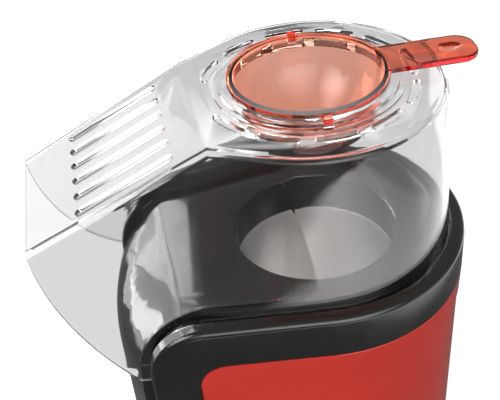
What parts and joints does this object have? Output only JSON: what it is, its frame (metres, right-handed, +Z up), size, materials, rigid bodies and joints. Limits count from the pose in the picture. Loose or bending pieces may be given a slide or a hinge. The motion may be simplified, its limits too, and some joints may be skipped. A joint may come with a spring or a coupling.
{
  "type": "hot-air popcorn maker",
  "caption": "Tall red and black worktop hot-air popcorn maker with a clear chute hood, a measuring cup in its top, a metal popping chamber and a fan-blown heater inside",
  "frame": {"origin": "on the worktop plane under the middle of the overall length and width", "axes": "+Z up, the chute points along -X and the cup handle along +X, +Y is across the machine"},
  "size_m": [0.2417, 0.168, 0.2959],
  "materials": {
    "black_gloss": "moulded black plastic with a satin gloss",
    "red_gloss": "glossy red plastic",
    "black_matt": "finely grained black plastic",
    "foot_rubber": "dull black rubber",
    "zinc_steel": "zinc-plated screws",
    "spun_aluminium": "satin spun metal",
    "white_fibre": "woven heat-proof ring",
    "sheet_steel": "bright sheet metal",
    "mica": "pressed mica board",
    "heating_wire": "dull resistance wire",
    "brown_phenolic": "dark moulded case",
    "fuse_metal": "small metal case",
    "tan_plastic": "heat-resisting moulding",
    "grey_plastic": "dark grey moulding",
    "sintered_bronze": "oiled bronze",
    "ferrite": "dark ceramic magnet",
    "carbon": "carbon block",
    "ground_steel": "ground shaft",
    "core_steel": "stacked core sheets",
    "copper": "enamelled copper",
    "board_green": "circuit board",
    "diode_black": "moulded diode cases",
    "clear_plastic": "clear polished plastic",
    "amber_plastic": "translucent orange-red plastic"
  },
  "bodies": {
    "body": {"top_housing": "black_gloss", "outer_shell": "red_gloss", "base_plate": "black_matt", "foot_front_left": "foot_rubber", "foot_front_right": "foot_rubber", "foot_rear_left": "foot_rubber", "foot_rear_right": "foot_rubber", "base_screws": "zinc_steel", "popping_chamber": "spun_aluminium", "chamber_gasket": "white_fibre", "chamber_screws": "zinc_steel", "heater_shroud": "sheet_steel", "shroud_screws": "zinc_steel", "heater_frame": "mica", "heater_coil": "heating_wire", "thermostat": "brown_phenolic", "thermal_fuse": "fuse_metal", "fan_housing": "tan_plastic", "fan_housing_screws": "zinc_steel", "motor_screws": "zinc_steel", "motor_can": "sheet_steel", "motor_end_cap": "grey_plastic", "motor_bushes": "sintered_bronze", "motor_magnets": "ferrite", "motor_brushes": "carbon", "rectifier_board": "board_green", "rectifier_diodes": "diode_black", "switch_body": "black_matt", "cord_gland": "black_matt"},
    "rotor": {"motor_shaft": "ground_steel", "armature": "core_steel", "armature_windings": "copper", "commutator": "copper", "fan_impeller": "grey_plastic", "fan_nut": "zinc_steel"},
    "rocker": {"rocker_button": "black_gloss"},
    "cover": {"clear_cover": "clear_plastic"},
    "cup": {"measuring_cup": "amber_plastic"}
  },
  "joints": [
    {"name": "fan_spin", "type": "hinge", "parent": "body", "child": "rotor", "pos_m": [0.03285, 0, 0.0502], "axis": [0, 0, 1], "continuous": true},
    {"name": "switch_rock", "type": "hinge", "parent": "body", "child": "rocker", "pos_m": [0.11333, 0, 0.046], "axis": [0, 1, 0], "range_deg": [0, 18]},
    {"name": "cover_lift", "type": "slide", "parent": "body", "child": "cover", "axis": [0, 0, 1], "range_m": [0, 0.06]},
    {"name": "cup_lift", "type": "slide", "parent": "cover", "child": "cup", "axis": [0, 0, 1], "range_m": [0, 0.045]}
  ]
}
